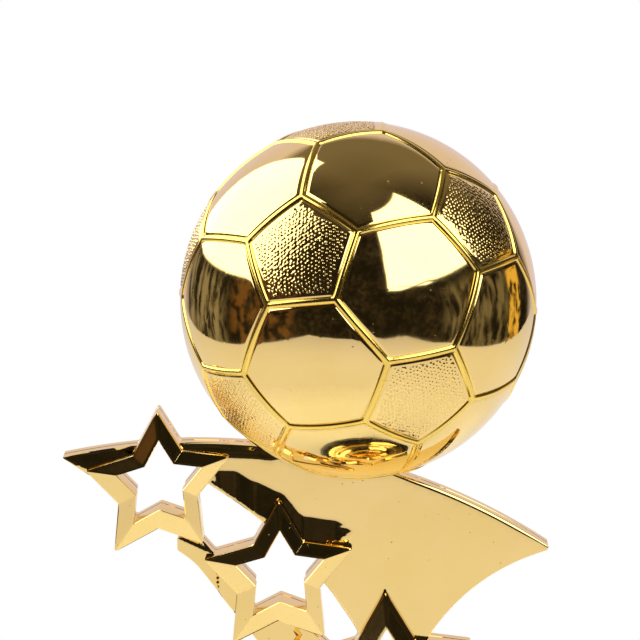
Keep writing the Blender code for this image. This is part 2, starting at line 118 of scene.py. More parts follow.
# ---- what the plating reflects
DARK_ROOM = ((0.012, 0.010, 0.007), (0.055, 0.042, 0.028))  # its darkest and its lightest tone
FAR_CEILING = (0.20, 0.165, 0.12)
OVERHEAD = (0.13, 0.105, 0.075)
RIGHT_CLUTTER = (0.19, 0.16, 0.11)
LEFT_CLUTTER = (0.30, 0.26, 0.20)
BROWN_CLUTTER = (0.17, 0.085, 0.03)
AMBER_STRIP = (0.85, 0.53, 0.10)
BACKDROP = (0.78, 0.68, 0.76)
FAR_TABLE = (0.74, 0.70, 0.66)
# painted light of the glowing table card: brighter near its middle, dimmer far out
CARD_GLOW_NEAR, CARD_GLOW_FAR = (0.89, 0.845, 0.81), (0.68, 0.63, 0.68)
LIGHT = (2.7, 2.65, 2.55)
LIGHT_EDGE = 1.2  # softness of the lights' edges, in degrees, as are the places below
RIGHT_LIGHT = ((20, 85), (17, 68))  # azimuths and elevations
RIGHT_LIGHT_TILT = 0.05  # its ends rise by this for each degree to the right
LEFT_LIGHT = ((-150, -66), (5, 61.4))
LEFT_LIGHT_SWING = 0.18  # its right side moves by this for each degree up
LEFT_LIGHT_RISE = (-130.0, 0.16)  # right of this azimuth its lower end rises by this for each degree


# ---- objects
def new_object(name, data):
    made = bpy.data.objects.new(name, data)
    bpy.context.scene.collection.objects.link(made)
    return made


def mesh_object(name, bm):
    """An object from built geometry, which is used up."""
    mesh = bpy.data.meshes.new(name)
    bm.to_mesh(mesh)
    bm.free()
    return new_object(name, mesh)


# ---- camera
def make_camera():
    """A long lens almost straight in front of the trophy and a little above it."""
    azimuth, elevation, distance = math.radians(1.0), math.radians(13.3), 650.0
    aside, above = 8.53, 4.52  # the ball's place right of and above the middle of the view
    back = Vector((
        math.sin(azimuth) * math.cos(elevation),
        -math.cos(azimuth) * math.cos(elevation),
        math.sin(elevation),
    ))
    right = Vector((math.cos(azimuth), math.sin(azimuth), 0))
    up = back.cross(right)
    data = bpy.data.cameras.new("camera")
    data.lens = 163.7
    data.sensor_width = 36
    data.clip_start = 0.01
    camera = new_object("camera", data)
    camera.location = (BALL_CENTRE + back * distance - right * aside - up * above) * MM
    camera.rotation_mode = "QUATERNION"
    camera.rotation_quaternion = Matrix((right, up, back)).transposed().to_quaternion()
    bpy.context.scene.camera = camera


# ---- node helpers
class Nodes:
    """Short calls for making shader nodes in one tree."""

    def __init__(self, tree):
        self.tree = tree

    def add(self, kind, inputs=None, **settings):
        node = self.tree.nodes.new(kind)
        for key, value in settings.items():
            setattr(node, key, value)
        for key, value in (inputs or {}).items():
            self.put(node.inputs[key], value)
        return node

    def put(self, socket, value):
        if isinstance(value, bpy.types.NodeSocket):
            self.tree.links.new(value, socket)
        else:
            socket.default_value = value

    def math(self, operation, first, second=0.0):
        return self.add("ShaderNodeMath", {0: first, 1: second}, operation=operation).outputs[0]

    def times(self, first, second):
        return self.math("MULTIPLY", first, second)

    def length(self, place):
        return self.add("ShaderNodeVectorMath", {0: place}, operation="LENGTH").outputs["Value"]

    def ramp(self, value, low, high):
        """0 below low, 1 above high, clamped in between."""
        node = self.add("ShaderNodeMapRange", {"Value": value, "From Min": low, "From Max": high})
        return node.outputs["Result"]

    def band(self, value, low, high, soft):
        """1 between low and high, with soft edges."""
        rise = self.ramp(value, low - soft / 2, low + soft / 2)
        fall = self.ramp(value, high + soft / 2, high - soft / 2)
        return self.times(rise, fall)

    def mix(self, factor, first, second):
        node = self.add("ShaderNodeMix", data_type="RGBA")
        self.put(node.inputs[0], factor)
        for socket, colour in ((node.inputs[6], first), (node.inputs[7], second)):
            self.put(socket, colour if isinstance(colour, bpy.types.NodeSocket) else (*colour, 1.0))
        return node.outputs[2]

    def noise(self, place, scale, detail=2.0, roughness=0.5):
        inputs = {"Vector": place, "Scale": scale, "Detail": detail, "Roughness": roughness}
        return self.add("ShaderNodeTexNoise", inputs).outputs["Fac"]

    def stretched(self, place, scale):
        return self.add("ShaderNodeMapping", {"Vector": place, "Scale": scale}).outputs[0]

    def surface(self, shader, colour, roughness, height):
        """Links a colour, a roughness and a bump height in millimetres to a material's shader."""
        self.put(shader.inputs["Base Color"], colour)
        self.put(shader.inputs["Roughness"], roughness)
        bump = self.add("ShaderNodeBump", {"Height": height, "Distance": MM, "Strength": 1.0})
        self.put(shader.inputs["Normal"], bump.outputs[0])


# ---- world, floor
def make_world():
    """A studio: a pale table all round, a dark room, two tall soft lights and a pale backdrop behind."""
    world = bpy.data.worlds.new("studio")
    bpy.context.scene.world = world
    world.use_nodes = True
    tree = world.node_tree
    tree.nodes.clear()
    n = Nodes(tree)
    place = n.add("ShaderNodeTexCoord").outputs["Generated"]
    split = n.add("ShaderNodeSeparateXYZ", {0: place})
    x, y, z = split.outputs
    radians = n.math("ARCTAN2", x, n.times(y, -1.0))
    azimuth = n.times(radians, 180 / math.pi)
    elevation = n.times(n.math("ARCSINE", z), 180 / math.pi)
    turned = n.math("ABSOLUTE", azimuth)

    mottle = n.noise(place, 5.0, 4.0, 0.6)
    fine = n.noise(place, 22.0, 3.0, 0.6)
    busy = n.times(mottle, fine)
    colour = n.mix(n.ramp(busy, 0.2, 0.42), *DARK_ROOM)

    def layer(under, over, *masks):
        return n.mix(functools.reduce(n.times, masks), under, over)

    def sides(*reach):
        return n.band(azimuth, *reach)

    def heights(*reach):
        return n.band(elevation, *reach)

    ceiling = n.times(n.ramp(elevation, 26, 34), n.ramp(turned, 95, 140))
    colour = layer(colour, FAR_CEILING, ceiling)
    colour = layer(colour, OVERHEAD, n.ramp(elevation, 55, 88))
    clutter = n.ramp(n.noise(n.stretched(place, (1.0, 1.0, 0.35)), 16.0, 3.0), 0.42, 0.58)
    colour = layer(colour, RIGHT_CLUTTER, clutter, sides(58, 112, 10), heights(-24, 14, 6))
    colour = layer(colour, LEFT_CLUTTER, clutter, sides(-146, -96, 10), heights(-24, 6, 8))
    brown = n.ramp(n.noise(place, 9.0, 3.0), 0.42, 0.56)
    colour = layer(colour, BROWN_CLUTTER, brown, sides(-88, -42, 8), heights(-20, 15, 5))
    colour = layer(colour, BACKDROP, n.ramp(turned, 138, 150), n.ramp(elevation, 42, 34))
    broken = n.ramp(n.noise(place, 12.0, 2.0), 0.40, 0.52)
    colour = layer(colour, AMBER_STRIP, broken, sides(113, 127, 2), heights(-31, 6, 2))

    tilted = n.math("SUBTRACT", elevation, n.times(azimuth, RIGHT_LIGHT_TILT))
    across, upward = RIGHT_LIGHT
    colour = layer(colour, LIGHT, sides(*across, LIGHT_EDGE), n.band(tilted, *upward, LIGHT_EDGE))

    half = LIGHT_EDGE / 2
    (left, right), (low, high) = LEFT_LIGHT
    swung = n.math("SUBTRACT", azimuth, n.times(elevation, LEFT_LIGHT_SWING))
    right_of, left_of = n.ramp(swung, right + half, right - half), n.ramp(azimuth, left - half, left + half)
    between = n.times(right_of, left_of)
    start, rise = LEFT_LIGHT_RISE
    past = n.math("MAXIMUM", n.math("ADD", azimuth, -start), 0.0)
    risen = n.math("SUBTRACT", elevation, n.times(past, rise))
    bottom, top = n.ramp(risen, low - half, low + half), n.ramp(elevation, high + half, high - half)
    colour = layer(colour, LIGHT, between, bottom, top)
    colour = layer(colour, FAR_TABLE, n.ramp(turned, 96, 128), n.ramp(elevation, -18, -24))

    camera_ray = n.add("ShaderNodeLightPath").outputs["Is Camera Ray"]
    colour = n.mix(camera_ray, colour, (1.0, 1.0, 1.0))
    background = n.add("ShaderNodeBackground", {"Color": colour, "Strength": 1.0})
    out = n.add("ShaderNodeOutputWorld")
    n.put(out.inputs["Surface"], background.outputs[0])
    bpy.context.scene.view_settings.view_transform = "Standard"


def make_floor():
    """A round pale table top under the base, which fades out at its edge."""
    radius, rings, steps, drop = 205.0, 24, 96, 0.1
    fade_end, fade_start = 0.2, 0.13  # metres from the middle
    bm = bmesh.new()
    middle = bm.verts.new((0, 0, 0))
    loops = []
    for ring in range(1, rings + 1):
        reach = radius * ring / rings * MM
        loops.append([
            bm.verts.new((reach * math.cos(a), reach * math.sin(a), -drop * MM))
            for a in (2 * math.pi * i / steps for i in range(steps))
        ])
    for i in range(steps):
        bm.faces.new((middle, loops[0][i], loops[0][(i + 1) % steps]))
    for inner, outer in zip(loops, loops[1:]):
        for i in range(steps):
            j = (i + 1) % steps
            bm.faces.new((inner[i], outer[i], outer[j], inner[j]))
    floor = mesh_object("floor", bm)
    material, shader, n, place = new_material("floor")
    colour = n.mix(n.noise(place, 60.0), (0.80, 0.80, 0.79), (0.83, 0.83, 0.82))
    n.put(shader.inputs["Base Color"], colour)
    shader.inputs["Roughness"].default_value = 0.7
    shader.inputs["Emission Color"].default_value = (1.0, 0.97, 0.93, 1.0)
    shader.inputs["Emission Strength"].default_value = 0.22
    n.put(shader.inputs["Alpha"], n.ramp(n.length(place), fade_end, fade_start))
    floor.data.materials.append(material)


def make_card():
    """A glowing card that stands for the rest of the pale table top, with painted light: brighter near the
    middle, dimmer further out. Only reflections see it, so that other views keep a clean ground.
    """
    left, right, near, far, height = -0.46, 0.43, -0.77, 0.75, -0.001  # metres
    dim_start, dim_end = 0.3, 0.72  # metres from the middle; the painted light dims from the first to the second
    bm = bmesh.new()
    corners = (left, near), (right, near), (right, far), (left, far)
    bm.faces.new([bm.verts.new((x, y, height)) for x, y in corners])
    card = mesh_object("table_card", bm)
    material = bpy.data.materials.new("table_card")
    material.use_nodes = True
    tree = material.node_tree
    tree.nodes.clear()
    n = Nodes(tree)
    place = n.add("ShaderNodeTexCoord").outputs["Object"]
    # painted light: the card glows brighter near the middle and dimmer further out
    colour = n.mix(n.ramp(n.length(place), dim_start, dim_end), CARD_GLOW_NEAR, CARD_GLOW_FAR)
    glow = n.add("ShaderNodeEmission", {"Color": colour, "Strength": 1.0})
    out = n.add("ShaderNodeOutputMaterial")
    n.put(out.inputs["Surface"], glow.outputs[0])
    card.data.materials.append(material)
    card.visible_camera = False
    card.visible_diffuse = False
    card.visible_shadow = False


# ---- materials
def new_material(name, metallic=0.0):
    material = bpy.data.materials.new(name)
    material.use_nodes = True
    shader = material.node_tree.nodes["Principled BSDF"]
    shader.inputs["Metallic"].default_value = metallic
    n = Nodes(material.node_tree)
    place = n.add("ShaderNodeTexCoord").outputs["Object"]
    return material, shader, n, place


def gold_material(name, peel=0.012, tint=GOLD, rough=(0.035, 0.085)):
    """Bright plating: a mirror with faint orange peel, hazy patches, specks of dust and thin spots."""
    material, shader, n, place = new_material(name, metallic=1.0)
    patches = n.noise(place, 70.0, 4.0, 0.6)
    deep = (tint[0] * 0.97, tint[1] * 0.965, tint[2] * 0.88)
    colour = n.mix(n.ramp(patches, 0.35, 0.65), deep, tint)
    specks = n.ramp(n.noise(place, 900.0, 2.0, 0.5), 0.748, 0.77)
    colour = n.mix(n.times(specks, 0.55), colour, (0.30, 0.19, 0.07))
    haze = n.ramp(n.noise(place, 45.0, 5.0, 0.65), 0.3, 0.75)
    spread = n.times(haze, rough[1] - rough[0])
    base = n.math("ADD", spread, rough[0])
    roughness = n.math("ADD", base, n.times(specks, 0.3))
    wave = n.times(n.noise(place, 330.0, 2.0, 0.45), peel)
    height = n.math("SUBTRACT", wave, n.times(specks, 0.01))
    n.surface(shader, colour, roughness, height)
    return material


def plastic_material(name, tint, rough=(0.06, 0.16), coat=0.5):
    """Polished moulded plastic with fine hairlines and a little dust."""
    material, shader, n, place = new_material(name)
    cloud = n.noise(place, 60.0, 4.0, 0.6)
    light = tuple(c * 1.6 + 0.004 for c in tint)
    colour = n.mix(n.ramp(cloud, 0.35, 0.7), tint, light)
    dust = n.ramp(n.noise(place, 1300.0, 2.0, 0.5), 0.72, 0.76)
    colour = n.mix(n.times(dust, 0.4), colour, (0.22, 0.21, 0.2))
    lines = n.noise(n.stretched(place, (40.0, 40.0, 900.0)), 1.0, 3.0, 0.6)
    spread = n.times(lines, rough[1] - rough[0])
    shader.inputs["Coat Weight"].default_value = coat
    shader.inputs["Coat Roughness"].default_value = 0.04
    height = n.math("ADD", n.times(cloud, 0.01), n.times(dust, 0.006))
    n.surface(shader, colour, n.math("ADD", spread, rough[0]), height)
    return material


def metal_material(name, tint, rough, scale, cast=False):
    """Steel with fine turning lines, or iron with a sandy cast skin."""
    material, shader, n, place = new_material(name, metallic=1.0)
    stretch = (1.0, 1.0, 1.0) if cast else (0.15, 0.15, 4.0)
    lines = n.noise(n.stretched(place, stretch), scale, 5.0, 0.65)
    stain = n.ramp(n.noise(place, 120.0, 4.0, 0.6), 0.45, 0.75)
    dark = tuple(c * 0.55 for c in tint)
    colour = n.mix(lines, dark, tint)
    colour = n.mix(n.times(stain, 0.5), colour, (0.30, 0.19, 0.11) if cast else (0.5, 0.47, 0.4))
    roughness = n.math("ADD", n.times(lines, 0.25), rough)
    n.surface(shader, colour, roughness, n.times(lines, 0.12 if cast else 0.02))
    return material


def felt_material():
    """Pressed felt: short tangled fibres with a soft sheen."""
    material, shader, n, place = new_material("felt")
    fibres = n.noise(place, 2400.0, 6.0, 0.75)
    clumps = n.noise(place, 260.0, 4.0, 0.6)
    both = n.times(n.math("ADD", fibres, clumps), 0.5)
    colour = n.mix(n.ramp(both, 0.35, 0.65), (0.006, 0.010, 0.008), (0.035, 0.050, 0.042))
    roughness = n.math("ADD", n.times(clumps, 0.15), 0.85)
    shader.inputs["Sheen Weight"].default_value = 0.35
    shader.inputs["Sheen Roughness"].default_value = 0.6
    n.surface(shader, colour, roughness, n.times(both, 0.25))
    return material


def tape_material():
    """White foam tape with open cells."""
    material, shader, n, place = new_material("tape")
    cells = n.add("ShaderNodeTexVoronoi", {"Vector": place, "Scale": 2500.0}).outputs["Distance"]
    cloud = n.noise(place, 300.0, 3.0)
    colour = n.mix(cells, (0.62, 0.62, 0.58), (0.80, 0.80, 0.77))
    colour = n.mix(n.times(cloud, 0.4), colour, (0.70, 0.68, 0.60))
    roughness = n.math("ADD", n.times(cloud, 0.2), 0.7)
    n.surface(shader, colour, roughness, n.times(cells, 0.1))
    return material


def brushed_material():
    """Satin sheet with long fine lines across it."""
    material, shader, n, place = new_material("plate_gold", metallic=1.0)
    lines = n.noise(n.stretched(place, (30.0, 30.0, 9000.0)), 1.0, 4.0, 0.7)
    stain = n.noise(place, 90.0, 4.0, 0.6)
    colour = n.mix(lines, (0.74, 0.55, 0.22), (0.93, 0.75, 0.38))
    colour = n.mix(n.times(n.ramp(stain, 0.5, 0.8), 0.4), colour, (0.6, 0.42, 0.16))
    roughness = n.math("ADD", n.times(lines, 0.2), 0.2)
    n.surface(shader, colour, roughness, n.times(lines, 0.01))
    return material


# ---- mesh helpers
def shade(mesh, angle):
    mesh.shade_smooth()
    mesh.set_sharp_from_angle(angle=math.radians(angle))


def finish_piece(name, bm, material, node, angle):
    """Turns geometry built in millimetres into a piece that stands for a CAD node."""
    bmesh.ops.recalc_face_normals(bm, faces=bm.faces)
    bmesh.ops.scale(bm, vec=(MM, MM, MM), verts=bm.verts)
    piece = mesh_object(name, bm)
    for used in material if isinstance(material, tuple) else (material,):
        piece.data.materials.append(used)
    shade(piece.data, angle)
    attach(piece, "root")
    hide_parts(node)
    return piece


def bridge(bm, loops, closed=False):
    """Faces between each loop of vertices and the next."""
    following = loops[1:] + loops[:1] if closed else loops[1:]
    for first, second in zip(loops, following):
        for i in range(len(first)):
            j = (i + 1) % len(first)
            corners = [first[i], first[j], second[j], second[i]]
            distinct = list(dict.fromkeys(corners))
            if len(distinct) > 2:
                bm.faces.new(distinct)


def fan(bm, loop, tip):
    """Faces from a loop of vertices to one point."""
    for i, vertex in enumerate(loop):
        bm.faces.new((vertex, loop[(i + 1) % len(loop)], tip))


def soften(corners, radius, steps=4, side=0, shallow=20.0, far_radius=None):
    """A closed outline with its sharp corners rounded off and its shallow turns smoothed into curves.

    side adds points along each straight side. far_radius is the radius at the sail's blunt tip."""
    corners = [Vector(c) for c in corners]
    count = len(corners)
    out = []
    for i, corner in enumerate(corners):
        back, ahead = corners[i - 1] - corner, corners[(i + 1) % count] - corner
        room = 0.5 * min(back.length, ahead.length)
        inner = back.angle(ahead)
        if math.degrees(math.pi - inner) > shallow:
            used = far_radius if far_radius and corner.x > BLUNT_TIP_X else radius
            room = min(room * 0.9, used / math.tan(inner / 2))
        start, end = corner + back.normalized() * room, corner + ahead.normalized() * room
        for j in range(steps + 1):
            t = j / steps
            out.append(start * (1 - t) ** 2 + corner * (2 * t * (1 - t)) + end * t**2)
        if side:
            after = corners[(i + 1) % count]
            next_back, next_ahead = corner - after, corners[(i + 2) % count] - after
            next_inner = next_back.angle(next_ahead)
            reach = min(0.45 * min(next_back.length, next_ahead.length), radius / math.tan(next_inner / 2))
            stop = after + next_back.normalized() * reach
            out += [end.lerp(stop, k / (side + 1)) for k in range(1, side + 1)]
    return out


def distinct_points(points, least=0.004):
    """An outline without its repeated points."""
    kept = [points[0]]
    for point in points[1:]:
        if (point - kept[-1]).length > least:
            kept.append(point)
    while (kept[0] - kept[-1]).length <= least:
        kept.pop()
    return kept


def signed_area(loop):
    """An outline's area, above 0 if it runs anticlockwise."""
    return sum(a.x * b.y - b.x * a.y for a, b in zip(loop, loop[1:] + loop[:1])) / 2


def inset(loop, widths):
    """Moves each point of an outline to its left by its own width, less where the outline would fold."""
    passes, fold, ease, least_turn = 14, 0.12, 0.75, 0.6
    count = len(loop)
    normals, turns = [], []
    for i in range(count):
        before, after = loop[i] - loop[i - 1], loop[(i + 1) % count] - loop[i]
        before.normalize()
        after.normalize()
        total = before + after
        total.normalize()
        normals.append(Vector((-total.y, total.x)))
        turns.append(max(least_turn, total.dot(after)))
    widths = list(widths)
    for _ in range(passes):
        moved = [loop[i] + normals[i] * (widths[i] / turns[i]) for i in range(count)]
        bad = set()
        for i in range(count):
            j = (i + 1) % count
            step = loop[j] - loop[i]
            if (moved[j] - moved[i]).dot(step) < fold * step.length_squared:
                bad |= {i, j}
        if not bad:
            break
        for i in bad:
            widths[i] *= ease
    return moved


def even_odd(points, loops):
    """Which points lie inside a region bounded by outlines."""
    points = np.array(points, float).reshape(-1, 2)
    inside = np.zeros(len(points), bool)
    for loop in loops:
        a = np.array([tuple(p) for p in loop], float)
        b = np.roll(a, -1, axis=0)
        px, py = points[:, :1], points[:, 1:]
        crosses = (a[:, 1] > py) != (b[:, 1] > py)
        rise = b[:, 1] - a[:, 1]
        rise = np.where(np.abs(rise) < 1e-12, 1e-12, rise)
        where = a[:, 0] + (py - a[:, 1]) / rise * (b[:, 0] - a[:, 0])
        inside ^= (np.sum(crosses & (px < where), axis=1) % 2).astype(bool)
    return inside


def clear_of(points, loops, margin):
    """Which points keep a margin from every outline."""
    points = np.array(points, float).reshape(-1, 2)
    keep = np.ones(len(points), bool)
    for loop in loops:
        a = np.array([tuple(p) for p in loop], float)
        span = np.roll(a, -1, axis=0) - a
        length = np.maximum((span**2).sum(1), 1e-12)
        rel = points[:, None, :] - a[None]
        t = np.clip((rel * span).sum(2) / length, 0, 1)
        gap = rel - t[..., None] * span
        keep &= (gap**2).sum(2).min(1) > margin**2
    return keep


def cap(bm, outlines, rings, extra, place):
    """Fills a flat region between rings of vertices, through extra points.

    place() gives such a point its place in space."""
    flat, verts, edges = [], [], []
    for outline, ring in zip(outlines, rings):
        first = len(flat)
        flat += [Vector(p) for p in outline]
        verts += ring
        edges += [(first + i, first + (i + 1) % len(ring)) for i in range(len(ring))]
    for point in extra:
        flat.append(Vector(point))
        verts.append(None)
    points, _, faces, origins, _, _ = delaunay_2d_cdt(flat, edges, [], 0, 1e-6, True)
    middles = [sum((points[i] for i in face), Vector((0, 0))) / 3 for face in faces]
    wanted = even_odd([tuple(m) for m in middles], outlines)
    made = {}

    def vertex(i):
        if i not in made:
            known = [verts[o] for o in origins[i] if verts[o] is not None]
            made[i] = known[0] if known else bm.verts.new(place(points[i]))
        return made[i]

    for face, keep in zip(faces, wanted):
        if keep:
            corners = [vertex(i) for i in face]
            if len(set(corners)) == 3:
                try:
                    bm.faces.new(corners)
                except ValueError:
                    pass  # this face is there already


def kept_inside(points, outlines, margin):
    """The points that lie inside a region and keep a margin from its edges."""
    keep = even_odd(points, outlines)
    points = [p for p, k in zip(points, keep) if k]
    keep = clear_of(points, outlines, margin)
    return [p for p, k in zip(points, keep) if k]


def grid_points(outlines, pitch, margin):
    """A staggered grid of points inside a region, clear of its edges."""
    xs = [p[0] for loop in outlines for p in loop]
    ys = [p[1] for loop in outlines for p in loop]
    points = []
    y, odd = min(ys), False
    while y < max(ys):
        x = min(xs) + (pitch / 2 if odd else 0)
        while x < max(xs):
            points.append((x, y))
            x += pitch
        y += pitch * ROW_SHARE
        odd = not odd
    return kept_inside(points, outlines, margin)


# ---- the ball
def icosahedron():
    """The 12 corners of an icosahedron on the unit sphere, turned as the ball's pentagons are."""
    phi = (1 + math.sqrt(5)) / 2
    corners = []
    for a in (-1, 1):
        for b in (-phi, phi):
            corners += [Vector((0, a, b)), Vector((a, b, 0)), Vector((b, 0, a))]
    turn = Matrix.Rotation(BALL_YAW, 3, "Z") @ BALL_TURN
    return [(turn @ c).normalized() for c in corners]


def ball_panels():
    """The corners of the 12 pentagons and the 20 hexagons on the unit sphere."""
    tops = icosahedron()
    near = {
        i: [j for j in range(12) if j != i and tops[i].dot(tops[j]) > NEIGHBOUR_COSINE]
        for i in range(12)
    }

    def cut(i, j):
        return tops[i].lerp(tops[j], PENTAGON_CUT).normalized()

    def in_order(points, centre):
        side = (points[0] - centre * points[0].dot(centre)).normalized()
        up = centre.cross(side)
        return sorted(points, key=lambda p: math.atan2(p.dot(up), p.dot(side)))

    pentagons = [in_order([cut(i, j) for j in near[i]], tops[i]) for i in range(12)]
    hexagons = []
    for i in range(12):
        for j in near[i]:
            for k in near[i]:
                if i < j < k and k in near[j]:
                    ring = [cut(i, j), cut(j, i), cut(j, k), cut(k, j), cut(k, i), cut(i, k)]
                    hexagons.append(in_order(ring, (tops[i] + tops[j] + tops[k]).normalized()))
    return pentagons, hexagons


def panel_ring(corners, distance):
    """The outline of a panel moved in from its seams by a distance along the ball, on the unit sphere."""
    count = len(corners)
    shift = math.sin(distance / BALL_RADIUS)
    walls = [corners[i].cross(corners[(i + 1) % count]).normalized() for i in range(count)]
    moved = []
    for i in range(count):
        a, b = walls[i - 1], walls[i]
        share = shift / (1 + a.dot(b))
        base = (a + b) * share
        across = a.cross(b)
        if across.dot(corners[i]) < 0:
            across = -across
        across.normalize()
        moved.append(base + across * math.sqrt(max(0.0, 1 - base.length_squared)))
    ring = []
    for i in range(count):
        first, last, wall = moved[i], moved[(i + 1) % count], walls[i]
        for step in range(SIDE_STEPS):
            point = first.lerp(last, step / SIDE_STEPS)
            along = point - wall * point.dot(wall)
            ring.append(along.normalized() * math.sqrt(1 - shift**2) + wall * shift)
    return ring


def on_ball(point, height):
    return point * (BALL_RADIUS + height)


def paint_from(bm, first, slot):
    """Gives the faces made since the first one a place in the list of materials."""
    bm.faces.ensure_lookup_table()
    for face in bm.faces[first:]:
        face.material_index = slot


def add_panel(bm, corners, pebbled, draw):
    """One panel from the middle of its seams inwards, either smooth or pebbled."""
    centre = sum(corners, Vector()).normalized()
    rows = list(SEAM_ROWS)
    if not pebbled:
        rows += [(s, PANEL_DEPTH) for s in PANEL_ROWS]
    rings = [[bm.verts.new(on_ball(p, h)) for p in panel_ring(corners, s)] for s, h in rows]
    seam_rows = sum(1 for s, _ in rows if s < SEAM_EDGE)
    first = len(bm.faces)
    bridge(bm, rings[:seam_rows])
    paint_from(bm, first, SEAM_SLOT)
    bridge(bm, rings[seam_rows - 1:])
    if not pebbled:
        tip = bm.verts.new(on_ball(centre, PANEL_DEPTH))
        fan(bm, rings[-1], tip)
        return
    side = (corners[0] - centre * corners[0].dot(centre)).normalized()
    up = centre.cross(side)
    border = [v.co.normalized() for v in rings[-1]]
    flat = [Vector((p.dot(side), p.dot(up))) / p.dot(centre) * BALL_RADIUS for p in border]
    heights = {}
    extra = pebble_points(flat, heights, draw)

    def place(point):
        key = (round(point.x, 3), round(point.y, 3))
        height = heights.get(key, 0.0)
        spot = (centre + side * (point.x / BALL_RADIUS) + up * (point.y / BALL_RADIUS)).normalized()
        return on_ball(spot, PANEL_DEPTH + height)

    first = len(bm.faces)
    cap(bm, [flat], [rings[-1]], extra, place)
    paint_from(bm, first, PEBBLE_SLOT)


def pebble_points(outline, heights, draw):
    """Small round pebbles on a jittered grid: a crown, a shoulder ring and low ground between them."""
    reach = max(p.length for p in outline)
    pitch = PEBBLE_PITCH
    rows = int(reach / (pitch * ROW_SHARE)) + 1
    centres = []
    lean = Matrix.Rotation(draw.uniform(0, math.pi), 2)
    for row in range(-rows, rows + 1):
        for column in range(-rows - 1, rows + 2):
            x = (column + 0.5 * (row % 2)) * pitch + draw.uniform(-PEBBLE_JITTER, PEBBLE_JITTER)
            y = row * pitch * ROW_SHARE + draw.uniform(-PEBBLE_JITTER, PEBBLE_JITTER)
            centres.append(tuple(lean @ Vector((x, y))))
    points = []
    for x, y in kept_inside(centres, [outline], PEBBLE_MARGIN):
        tall = PEBBLE_HEIGHT * draw.uniform(0.75, 1.3)
        size = pitch * draw.uniform(0.27, 0.33)
        spots = [((x, y), tall)]
        turn = draw.uniform(0, 1)
        for share, lag, height in ((0.6, 0.0, tall * 0.7), (1.08, 0.5, 0.0)):
            for k in range(6):
                a = 2 * math.pi * (k + lag + turn) / 6
                spots.append(((x + size * share * math.cos(a), y + size * share * math.sin(a)), height))
        for (across, upward), height in spots:
            spot = (round(across, 3), round(upward, 3))
            heights[spot] = height
            points.append(spot)
    return kept_inside(list(dict.fromkeys(points)), [outline], 0.08)


def make_ball(materials):
    """Two half shells with raised seams, smooth hexagons and pebbled pentagons."""
    draw = random.Random(SEED)
    whole = bmesh.new()
    pentagons, hexagons = ball_panels()
    for corners in pentagons:
        add_panel(whole, corners, True, draw)
    for corners in hexagons:
        add_panel(whole, corners, False, draw)
    bmesh.ops.remove_doubles(whole, verts=whole.verts, dist=0.004)
    for name, side in (("ball_front_shell", -1), ("ball_rear_shell", 1)):
        bm = whole.copy()
        geometry = [*bm.verts, *bm.edges, *bm.faces]
        cut_at, facing = Vector((0, side * HALF_GAP, 0)), Vector((0, -side, 0))
        bmesh.ops.bisect_plane(
            bm, geom=geometry, dist=1e-5, plane_co=cut_at, plane_no=facing, clear_outer=True
        )
        rim = {v for e in bm.edges if len(e.link_faces) == 1 for v in e.verts}
        rim = sorted(rim, key=lambda v: math.atan2(v.co.z, v.co.x))
        loops = [rim]
        for step in range(DOME_RINGS):
            angle = math.radians(DOME_STEP * step)
            ring = []
            for v in rim:
                flat = Vector((v.co.x, 0, v.co.z)).normalized() * (SHELL_INNER * math.cos(angle))
                depth = side * (HALF_GAP + SHELL_INNER * math.sin(angle))
                ring.append(bm.verts.new((flat.x, depth, flat.z)))
            loops.append(ring)
        bridge(bm, loops)
        tip = bm.verts.new((0, side * (HALF_GAP + SHELL_INNER), 0))
        fan(bm, loops[-1], tip)
        bmesh.ops.translate(bm, verts=bm.verts, vec=BALL_CENTRE)
        finish_piece(name + "_panelled", bm, materials, name, angle=50.0)
    whole.free()


# ---- the stars
def loop_at(node, depth, tolerance=0.02):
    """The distinct corners, in x and z, that a CAD node has at one depth."""
    found = {}
    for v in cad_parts[node].data.vertices:
        if abs(v.co.y / MM - depth) < tolerance:
            found[(round(v.co.x / MM, 2), round(v.co.z / MM, 2))] = True
    return [Vector(p) for p in found]


def round_order(points):
    """Corners sorted round their middle, starting from the highest."""
    centre = sum(points, Vector((0, 0))) / len(points)
    points = sorted(points, key=lambda p: math.atan2(p.y - centre.y, p.x - centre.x))
    top = max(range(len(points)), key=lambda i: points[i].y)
    return points[top:] + points[:top], centre


def scaled(points, centre, share):
    return [centre + (p - centre) * share for p in points]


def star_depths(node):
    """The depths of the ridge round a star's hole and of its outer rim."""
    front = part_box(node)[0].y / MM
    depths = sorted({round(v.co.y / MM, 2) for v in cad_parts[node].data.vertices})
    return depths[0], min(depths[1:], key=lambda d: abs(d - (front + STAR_RIM_FALL)))


